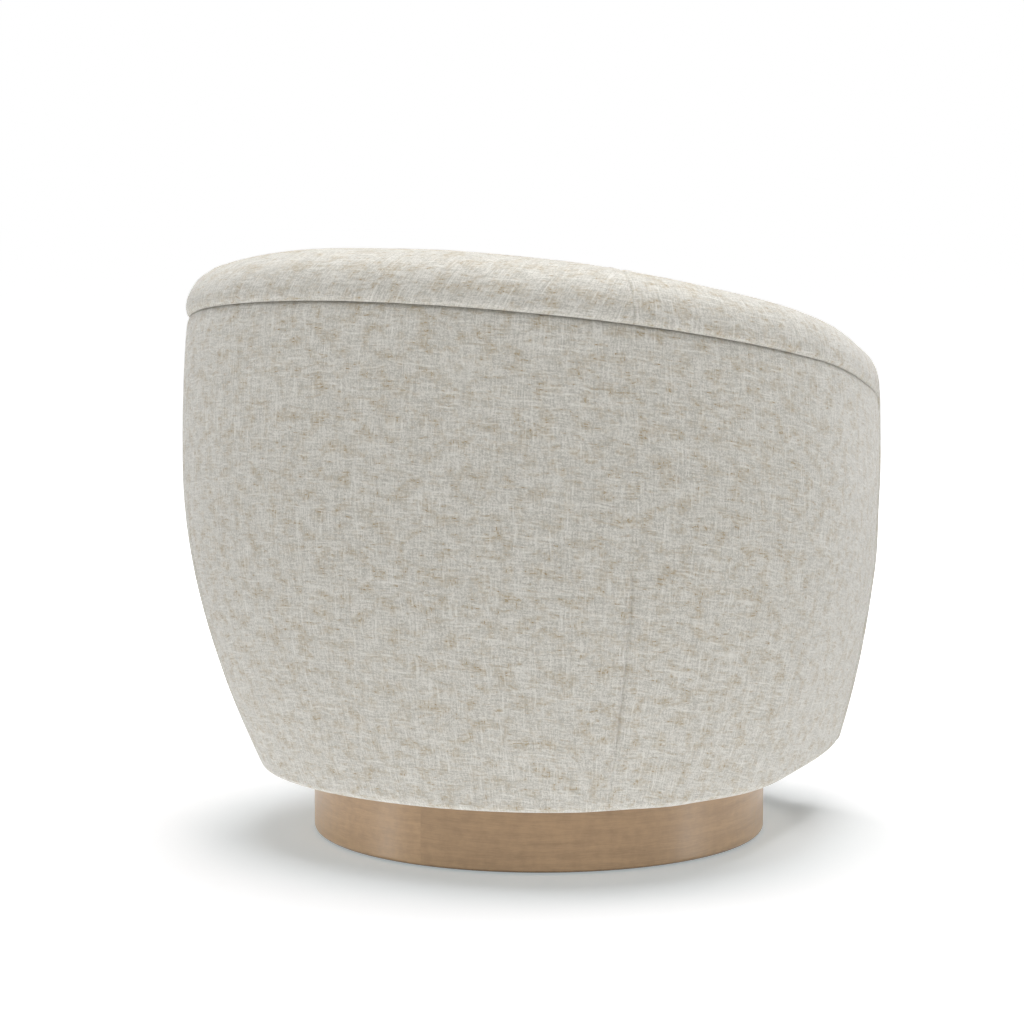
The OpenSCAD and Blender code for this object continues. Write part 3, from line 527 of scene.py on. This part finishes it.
def inflate(o, rest):
    """Cloth pressure run on a copy; each point may move at most a cap, and the foot stays flat"""
    work = o.copy()
    work.data = o.data.copy()
    work.parent = None
    for k in list(work.keys()):
        del work[k]
    scene.collection.objects.link(work)
    cloth = work.modifiers.new("cloth", "CLOTH")
    st = cloth.settings
    st.quality = 6
    st.mass = 0.3
    st.tension_stiffness = st.compression_stiffness = 22
    st.shear_stiffness = 12
    st.bending_stiffness = 0.6
    st.use_pressure = True
    st.uniform_pressure_force = 4
    st.effector_weights.gravity = 0
    cloth.collision_settings.use_self_collision = False
    cloth.point_cache.frame_start, cloth.point_cache.frame_end = 1, CLOTH_FRAMES
    for f in range(1, CLOTH_FRAMES + 1):
        scene.frame_set(f)
    out = work.evaluated_get(bpy.context.evaluated_depsgraph_get()).to_mesh()
    co = np.array([v.co for v in out.vertices]) / MM
    scene.frame_set(1)
    bpy.data.objects.remove(work)
    move = co - rest
    z = rest[:, 2]
    side_cap, top_cap = 4.0, 12.0
    cap = np.where(z < CUSHION_Z + 2, 0.0, np.where(z < CUSHION_Z + FOOT + BOXING, side_cap, top_cap))
    length = np.linalg.norm(move, axis=1)
    move *= (np.minimum(length, cap) / np.maximum(length, 1e-6))[:, None]
    return rest + move


def deck_cover():
    """Thin padded deck under the cushion, with eased edges"""
    n = 240
    def loop(e):
        inn = -FRONT_PAD - GAP - e
        return resample(seat_outline(DECK - DECK_PAD, INNER_SWELL + GAP + e, inn, inn), n)[0]
    rings, uv = [], []
    def add(p, z):
        rings.append(np.column_stack([p, np.full(n, z)]))
        uv.append(p)
    base, inner = loop(0), loop(DECK_EDGE)
    for s in (0.05, 0.5, 0.95):
        add(MIDDLE + (base - MIDDLE) * s, DECK - DECK_PAD)
    add(base, DECK - DECK_PAD)
    for t in np.radians(np.linspace(0, 90, 6)):
        add(loop(DECK_EDGE * (1 - np.cos(t))), DECK - DECK_EDGE * (1 - np.sin(t)))
    for s in (0.97, 0.8, 0.5, 0.2, 0.05):
        add(MIDDLE + (inner - MIDDLE) * s, DECK)
    pts, uvs, faces = lattice(np.array(rings), np.array(uv), flip=True)
    obj_from("deck_cloth", pts, uvs, faces, FELT, "shell", ["deck_pad"], fill=0.9, slot="felt")


# ---------------------------------------------------------------- materials
def srgb(rgb, shade=1.0):
    """Linear colour from sRGB values of 0 to 255"""
    c = np.array(rgb) * shade / 255
    return tuple(np.where(c <= 0.04045, c / 12.92, ((c + 0.055) / 1.055) ** 2.4)) + (1.0,)


class Tree:
    """Short names for the nodes of a material"""
    def __init__(self, name):
        self.mat = bpy.data.materials.new(name)
        self.mat.use_nodes = True
        self.nt = self.mat.node_tree
        self.bsdf = self.nt.nodes["Principled BSDF"]

    def node(self, kind, **props):
        n = self.nt.nodes.new(kind)
        for k, v in props.items():
            setattr(n, k, v)
        return n

    def put(self, socket, value):
        if isinstance(value, bpy.types.NodeSocket):
            self.nt.links.new(value, socket)
        else:
            socket.default_value = value

    def math(self, op, a, b=0.0):
        n = self.node("ShaderNodeMath", operation=op)
        self.put(n.inputs[0], a)
        self.put(n.inputs[1], b)
        return n.outputs[0]

    def mul(self, a, b):
        return self.math("MULTIPLY", a, b)

    def plus(self, a, b):
        return self.math("ADD", a, b)

    def ramp(self, value, lo, hi, out_lo=0.0, out_hi=1.0):
        n = self.node("ShaderNodeMapRange", interpolation_type="SMOOTHSTEP")
        for i, v in enumerate((value, lo, hi, out_lo, out_hi)):
            self.put(n.inputs[i], v)
        return n.outputs[0]

    def vec(self, x, y, z=0.0):
        n = self.node("ShaderNodeCombineXYZ")
        for i, v in enumerate((x, y, z)):
            self.put(n.inputs[i], v)
        return n.outputs[0]

    def noise(self, vector, scale=1.0, detail=2.0, rough=0.5):
        n = self.node("ShaderNodeTexNoise")
        self.put(n.inputs["Vector"], vector)
        n.inputs["Scale"].default_value = scale
        n.inputs["Detail"].default_value = detail
        n.inputs["Roughness"].default_value = rough
        return n.outputs["Fac"]

    def grain(self, x, scale_x, y, scale_y, z, detail=2.0, rough=0.5):
        """Noise that is stretched by a scale for each way"""
        return self.noise(self.vec(self.mul(x, scale_x), self.mul(y, scale_y), z), detail=detail, rough=rough)

    def mix(self, fac, a, b):
        n = self.node("ShaderNodeMix", data_type="RGBA")
        self.put(n.inputs[0], fac)
        self.put(n.inputs[6], a)
        self.put(n.inputs[7], b)
        return n.outputs[2]

    def uv(self, name):
        n = self.node("ShaderNodeUVMap")
        n.uv_map = name
        s = self.node("ShaderNodeSeparateXYZ")
        self.put(s.inputs[0], n.outputs[0])
        return s.outputs[0], s.outputs[1]

    def place(self):
        return self.node("ShaderNodeTexCoord").outputs["Object"]

    def xyz(self):
        s = self.node("ShaderNodeSeparateXYZ")
        self.put(s.inputs[0], self.place())
        return s.outputs[0], s.outputs[1], s.outputs[2]

    def bump(self, height, distance, strength=1.0):
        n = self.node("ShaderNodeBump")
        n.inputs["Strength"].default_value = strength
        n.inputs["Distance"].default_value = distance
        self.put(n.inputs["Height"], height)
        self.put(self.bsdf.inputs["Normal"], n.outputs[0])

    def done(self, color, rough, **sockets):
        self.put(self.bsdf.inputs["Base Color"], color)
        self.put(self.bsdf.inputs["Roughness"], rough)
        for k, v in sockets.items():
            self.bsdf.inputs[k.replace("_", " ")].default_value = v
        return self.mat


THREAD = 0.0014  # metres between threads
GROUND_LOW, GROUND_HIGH, SLUB = (178, 175, 166), (220, 217, 209), (238, 237, 231)
BROWN, BROWN_DARK = (172, 156, 127), (138, 119, 90)


def linen():
    """Heathered plain weave: a pale cool ground with a tone per thread, white slubs and fuzzy brown clusters"""
    t = Tree("linen_weave")
    u, v = t.uv("cloth")
    # threads that waver a little, counted both ways
    waver = t.mul(t.math("SUBTRACT", t.grain(u, 24, v, 24, 1.0, detail=1.0), 0.5), 0.008)
    u1, v1 = t.plus(u, waver), t.math("SUBTRACT", v, waver)
    cu, cv = t.math("DIVIDE", u1, THREAD), t.math("DIVIDE", v1, THREAD)
    iu, iv = t.math("FLOOR", cu), t.math("FLOOR", cv)
    weft = t.grain(u1, 48, iv, 7.31, 4.0, rough=0.6)
    warp = t.grain(iu, 5.77, v1, 48, 9.0, rough=0.6)
    parity = t.math("MODULO", t.math("ABSOLUTE", t.plus(iu, iv)), 2.0)
    both = t.node("ShaderNodeMix", data_type="FLOAT")
    t.put(both.inputs[0], t.plus(t.mul(parity, 0.5), 0.25))
    t.put(both.inputs[2], weft)
    t.put(both.inputs[3], warp)
    thread = both.outputs[0]
    fine = t.grain(u, 420, v, 420, 6.0, rough=0.7)
    tone = t.ramp(t.plus(t.mul(thread, 0.55), t.mul(fine, 0.45)), 0.375, 0.615)
    color = t.mix(tone, srgb(GROUND_LOW), srgb(GROUND_HIGH))
    # brown threads gather in patches and in streaks along the weft
    patch = t.grain(u, 44, v, 58, 2.0, rough=0.55)
    streak = t.grain(u1, 42, v1, 170, 21.0, rough=0.6)
    brown_weft = t.grain(u1, 110, iv, 3.77, 31.0, detail=1.0)
    brown_warp = t.grain(iu, 4.13, v1, 110, 37.0, detail=1.0)
    lines = t.math("MAXIMUM", t.ramp(brown_weft, 0.48, 0.66), t.ramp(brown_warp, 0.54, 0.70))
    speck = t.mul(lines, t.ramp(fine, 0.34, 0.56))
    cluster = t.math("MAXIMUM", t.ramp(patch, 0.46, 0.66), t.ramp(streak, 0.55, 0.68))
    brown = t.mul(cluster, t.plus(t.mul(speck, 0.80), 0.20))
    color = t.mix(brown, color, srgb(BROWN))
    darkest = t.ramp(t.mul(fine, lines), 0.50, 0.66, 0.0, 0.8)
    dark = t.mul(t.plus(t.mul(cluster, 0.9), 0.10), darkest)
    color = t.mix(dark, color, srgb(BROWN_DARK))
    # single white threads, somewhat thicker than the rest
    lone_weft = t.math("FLOOR", t.math("DIVIDE", v1, 1.4 * THREAD))
    lone_warp = t.math("FLOOR", t.math("DIVIDE", u1, 1.4 * THREAD))
    across = t.grain(u1, 26, lone_weft, 9.13, 12.0, detail=1.0)
    upright = t.grain(lone_warp, 8.71, v1, 26, 17.0, detail=1.0)
    white = t.math("MAXIMUM", t.ramp(across, 0.55, 0.75, 0.0, 0.36), t.ramp(upright, 0.55, 0.75, 0.0, 0.36))
    color = t.mix(white, color, srgb(SLUB))
    hill_u = t.math("SINE", t.mul(t.math("FRACT", cu), np.pi))
    hill_v = t.math("SINE", t.mul(t.math("FRACT", cv), np.pi))
    relief = t.plus(t.mul(thread, 0.9), t.mul(white, 0.4))
    t.bump(t.plus(t.mul(t.mul(hill_u, hill_v), 0.5), relief), 0.0007, 0.6)
    return t.done(color, 0.9, Sheen_Weight=0.3, Sheen_Roughness=0.45)


# the last oak colour is painted shade at the plinth's lower edge
OAK_LOW, OAK_HIGH, OAK_PORES, OAK_EDGE_SHADE = (152, 122, 87), (177, 144, 105), (112, 88, 63), (92, 70, 50)


def oak(name, seed, shade):
    """Satin oak bent round the plinth: grain runs round it, with fine pores, soft flake and painted shade along
    the lower edge
    """
    t = Tree(name)
    x, y, z = t.xyz()
    run = t.plus(t.mul(t.math("ARCTAN2", x, y), 0.28), seed)
    sway = t.noise(t.vec(t.mul(run, 5), t.mul(z, 22), seed), detail=3.0)
    zz = t.plus(z, t.mul(t.math("SUBTRACT", sway, 0.5), 0.016))
    band = t.grain(run, 7, zz, 150, seed, detail=4.0, rough=0.6)
    fine = t.grain(run, 60, zz, 1500, seed + 3, rough=0.6)
    pores = t.grain(run, 130, zz, 1900, seed + 7, detail=1.0)
    flake = t.grain(run, 90, z, 70, seed + 11, detail=3.0, rough=0.6)
    tone = t.plus(t.mul(band, 0.38), t.plus(t.mul(fine, 0.32), t.mul(flake, 0.3)))
    color = t.mix(t.ramp(tone, 0.34, 0.66), srgb(OAK_LOW, shade), srgb(OAK_HIGH, shade))
    dark = t.ramp(pores, 0.36, 0.28, 0.0, 0.16)
    color = t.mix(dark, color, srgb(OAK_PORES, shade))
    # painted shade: the lowest few millimetres darken towards the floor
    color = t.mix(t.ramp(z, 0.0055, 0.0025, 0.0, 0.5), color, srgb(OAK_EDGE_SHADE, shade))
    t.bump(t.math("SUBTRACT", fine, t.mul(dark, 0.6)), 0.0002, 0.2)
    rough = t.ramp(flake, 0.3, 0.7, 0.34, 0.42)
    return t.done(color, rough, Specular_IOR_Level=0.5, Coat_Weight=0.3, Coat_Roughness=0.3)


def timber(name, dark, light, layered):
    """Sawn wood with the grain along y, or plywood with its layers lying flat"""
    t = Tree(name)
    x, y, z = t.xyz()
    grain = t.grain(x, 90, y, 12, t.mul(z, 260 if layered else 60), detail=4.0, rough=0.6)
    color = t.mix(t.ramp(grain, 0.35, 0.65), srgb(dark), srgb(light))
    t.bump(grain, 0.0004, 0.4)
    return t.done(color, 0.68)


def metal(name, rgb, rough):
    """Steel with faint streaks"""
    t = Tree(name)
    x, y, z = t.xyz()
    n = t.grain(x, 300.0, y, 30, t.mul(z, 30), detail=3.0)
    color = t.mix(n, srgb(rgb, 0.86), srgb(rgb))
    t.bump(n, 0.0001, 0.2)
    return t.done(color, t.ramp(n, 0.3, 0.7, rough * 0.85, rough * 1.2), Metallic=1.0)


def plain(name, dark, light, scale, rough):
    """Matt stuff with a fine mottle: felt, nylon and cambric"""
    t = Tree(name)
    n = t.noise(t.place(), scale=scale, detail=4.0, rough=0.65)
    color = t.mix(t.ramp(n, 0.35, 0.65), srgb(dark), srgb(light))
    t.bump(n, 0.0004, 0.5)
    return t.done(color, rough)


def band_cloth(name, dark, light):
    """Ribbed elastic webbing"""
    t = Tree(name)
    rib = t.math("SINE", t.mul(t.xyz()[2], 2400))
    n = t.noise(t.place(), scale=900, detail=2.0)
    color = t.mix(t.ramp(t.plus(t.mul(rib, 0.3), n), 0.2, 0.9), srgb(dark), srgb(light))
    t.bump(t.plus(rib, n), 0.0004, 0.5)
    return t.done(color, 0.85)


def dress(material, *nodes):
    for n in nodes:
        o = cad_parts[n]
        o.data.materials.clear()
        o.data.materials.append(material)


# ---------------------------------------------------------------- floor, world and lamps
# All in metres. The floor lies a hair under the chair, and the dark disc under the floor
FLOOR_HALF, FLOOR_Z, FLOOR_COLOR = 40.0, -0.0005, (0.86, 0.86, 0.87, 1)
DISC_R, DISC_Z, DISC_COLOR = 0.284, -0.0008, (0.3, 0.3, 0.3, 1)
# The floor's own glow for the camera: as white as the background far out, and how far out it gets there
FLOOR_LIFT, LIFT_FROM, LIFT_TO = 0.29, 0.75, 1.9
# painted light: a ring of extra glow round the plinth's foot lightens the shadow there for the camera
CONTACT_PAINTED_LIGHT, CONTACT_FROM, CONTACT_TO = 0.105, 0.30, 0.345
TINT, TINT_FROM, TINT_TO = (0.88, 0.97, 1.0, 1), 0.36, 0.5
WHITE = (1, 1, 1, 1)
WORLD_BELOW = 1.66  # strength of the world's lower half, as light that a white studio floor throws back
TOP_LAMP, TOP_SIZE, TOP_WATTS = (0, -0.3, 4), (4.0, 4.0), 265
SHEEN_SIDE, SHEEN_OUT, SHEEN_Z, SHEEN_AIM = 75, 1.4, -0.25, (0, 0, 0.05)
SHEEN_SIZE, SHEEN_WATTS, SHEEN_SPREAD = (0.25, 0.12), 0.045, 0.6


class Graph:
    """Short names for the nodes of the floor and the world; _0 stands for the first socket"""
    def __init__(self, owner):
        owner.use_nodes = True
        self.nt = owner.node_tree
        self.nt.nodes.clear()

    def add(self, kind, **props):
        n = self.nt.nodes.new(kind)
        for k, v in props.items():
            setattr(n, k, v)
        return n

    def fill(self, node, **values):
        for k, v in values.items():
            socket = node.inputs[int(k.strip("_"))]
            if isinstance(v, bpy.types.NodeSocket):
                self.nt.links.new(v, socket)
            else:
                socket.default_value = v
        return node

    def step(self, value, lo, hi, a, b):
        n = self.add("ShaderNodeMapRange", interpolation_type="SMOOTHSTEP")
        return self.fill(n, _0=value, _1=lo, _2=hi, _3=a, _4=b).outputs[0]

    def math(self, op, a, b):
        return self.fill(self.add("ShaderNodeMath", operation=op), _0=a, _1=b).outputs[0]


def stage_piece(mesh, z):
    """Puts a mesh of the stage at its height, and gives it a material to fill"""
    o = bpy.data.objects.new(mesh.name, mesh)
    scene.collection.objects.link(o)
    o.location.z = z
    material = bpy.data.materials.new(mesh.name)
    mesh.materials.append(material)
    return o, Graph(material)


def make_floor():
    """The studio is bright all round, also from below: the floor catches the shadow and lets that light through,
    and a dark disc keeps it off the plinth's foot"""
    me = bpy.data.meshes.new("floor")
    h = FLOOR_HALF
    me.from_pydata([(-h, -h, 0), (h, -h, 0), (h, h, 0), (-h, h, 0)], [], [(0, 1, 2, 3)])
    floor, g = stage_piece(me, FLOOR_Z)
    floor.visible_diffuse = floor.visible_shadow = False
    path = g.add("ShaderNodeLightPath")
    place = g.add("ShaderNodeTexCoord").outputs["Object"]
    reach = g.fill(g.add("ShaderNodeVectorMath", operation="LENGTH"), _0=place).outputs["Value"]
    far = g.step(reach, LIFT_FROM, LIFT_TO, FLOOR_LIFT, 1.0)
    # painted light: extra glow in a ring round the plinth's foot
    near = g.step(reach, CONTACT_FROM, CONTACT_TO, CONTACT_PAINTED_LIGHT, 0.0)
    seen = g.math("MAXIMUM", path.outputs["Is Camera Ray"], path.outputs["Is Glossy Ray"])
    # the wood and the cloth throw a warm light on the floor, which a cool tint takes back near the plinth
    tint = g.add("ShaderNodeMix", data_type="RGBA")
    g.fill(tint, _0=g.step(reach, TINT_FROM, TINT_TO, 0.0, 1.0), _6=TINT, _7=WHITE)
    glow = g.add("ShaderNodeEmission")
    g.fill(glow, _0=tint.outputs[2], _1=g.math("MULTIPLY", seen, g.math("ADD", far, near)))
    matt = g.fill(g.add("ShaderNodeBsdfDiffuse"), _0=FLOOR_COLOR)
    both = g.fill(g.add("ShaderNodeAddShader"), _0=matt.outputs[0], _1=glow.outputs[0])
    g.fill(g.add("ShaderNodeOutputMaterial"), _0=both.outputs[0])

    bm = bmesh.new()
    bmesh.ops.create_circle(bm, cap_ends=True, segments=96, radius=DISC_R)
    pad = bpy.data.meshes.new("floor_disc")
    bm.to_mesh(pad)
    bm.free()
    disc, g = stage_piece(pad, DISC_Z)
    disc.visible_camera = disc.visible_glossy = False
    matt = g.fill(g.add("ShaderNodeBsdfDiffuse"), _0=DISC_COLOR)
    g.fill(g.add("ShaderNodeOutputMaterial"), _0=matt.outputs[0])


def make_world():
    """White for the camera and in reflections; as light it comes from below, less from straight below"""
    world = bpy.data.worlds.new("world")
    scene.world = world
    g = Graph(world)
    path = g.add("ShaderNodeLightPath")
    seen = g.math("MAXIMUM", path.outputs["Is Camera Ray"],
                  g.math("MAXIMUM", path.outputs["Is Glossy Ray"], path.outputs["Is Transmission Ray"]))
    z = g.fill(g.add("ShaderNodeSeparateXYZ"), _0=g.add("ShaderNodeTexCoord").outputs["Generated"]).outputs[2]
    light = g.math("MULTIPLY", g.step(z, -0.95, -0.7, 0.5, 1.0), g.step(z, -0.15, 0.05, WORLD_BELOW, 0.0))
    level = g.fill(g.add("ShaderNodeMix"), _0=seen, _2=light, _3=1.0)
    bg = g.fill(g.add("ShaderNodeBackground"), _0=WHITE, _1=level.outputs[0])
    g.fill(g.add("ShaderNodeOutputWorld"), _0=bg.outputs[0])


def area(name, where, target, size, power):
    d = bpy.data.lights.new(name, "AREA")
    d.shape = "RECTANGLE"
    d.size, d.size_y = size
    d.energy = power
    o = bpy.data.objects.new(name, d)
    scene.collection.objects.link(o)
    o.location = where
    o.rotation_euler = (Vector(target) - Vector(where)).to_track_quat("-Z", "Y").to_euler()
    return o


make_camera()
make_floor()
make_world()
area("top", TOP_LAMP, (TOP_LAMP[0], TOP_LAMP[1], 0), TOP_SIZE, TOP_WATTS)
# two narrow lamps through the floor that give the plinth its bands of sheen
for name, side in (("left", -1), ("right", 1)):
    turn = AZIMUTH + side * np.radians(SHEEN_SIDE)
    lamp = area(name, (SHEEN_OUT * np.sin(turn), -SHEEN_OUT * np.cos(turn), SHEEN_Z), SHEEN_AIM,
                SHEEN_SIZE, SHEEN_WATTS)
    lamp.data.spread = SHEEN_SPREAD

CLOTH = linen()
FELT = plain("felt", (120, 116, 108), (150, 146, 137), 400, 0.95)
# The two veneer leaves have their own grain; the left one is also painted a little lighter and the right a little
# darker, a painted sheen step at the joint
OAK_L = oak("oak_left", 0.0, 1.03)
OAK_R = oak("oak_right", 5.3, 0.98)
PLY = timber("plywood", (176, 142, 98), (208, 178, 134), True)
WOOD = timber("hardwood", (150, 116, 78), (186, 152, 108), False)
NYLON = plain("nylon", (36, 36, 38), (52, 52, 54), 800, 0.55)
ZINC = metal("zinc_steel", (176, 176, 172), 0.38)
BALLS = metal("polished_steel", (205, 205, 208), 0.12)
WIRE = metal("spring_steel", (84, 84, 90), 0.42)
CAMBRIC = plain("black_cambric", (14, 14, 15), (26, 26, 27), 1200, 0.95)
WEB = band_cloth("webbing", (78, 58, 38), (112, 86, 58))

dress(OAK_L, "plinth_face_left")
dress(OAK_R, "plinth_face_right")
dress(PLY, "plinth_wall", "plinth_top_board", "bottom_board", "back_ribs", "side_ribs_left", "side_ribs_right",
      "arm_board_left", "arm_board_right", "top_rail_back", "top_rail_left", "top_rail_right", "front_formers",
      "front_apron")
dress(WOOD, "plinth_glue_blocks", "front_rail", "rear_rail", "side_rail_left", "side_rail_right", "corner_posts")
dress(NYLON, "plinth_glides", "ball_cage")
dress(ZINC, "swivel_lower_plate", "lower_plate_screws", "swivel_pivot", "swivel_upper_plate", "upper_plate_bolts",
      "spring_clips")
dress(BALLS, "bearing_balls")
dress(WIRE, "sinuous_springs")
dress(CAMBRIC, "dust_cover")
dress(WEB, "wall_webbing")

outer = [outer_cover("back_cover", "outer_back", 0), outer_cover("arm_cover_left", "outer_arm_left", 1),
         outer_cover("arm_cover_right", "outer_arm_right", -1)]
share_normals(outer[0], outer[1])
share_normals(outer[0], outer[2])
top_roll("roll_back", "top_roll_back", 0)
top_roll("roll_left", "top_roll_left", 1)
top_roll("roll_right", "top_roll_right", -1)
inner_cover("inner_back_cover", "inner_back", 0)
inner_cover("inner_arm_cover_left", "inner_arm_left", 1)
inner_cover("inner_arm_cover_right", "inner_arm_right", -1)
front_cover()
deck_cover()
seat_cushion()

scene.view_settings.view_transform = "Standard"
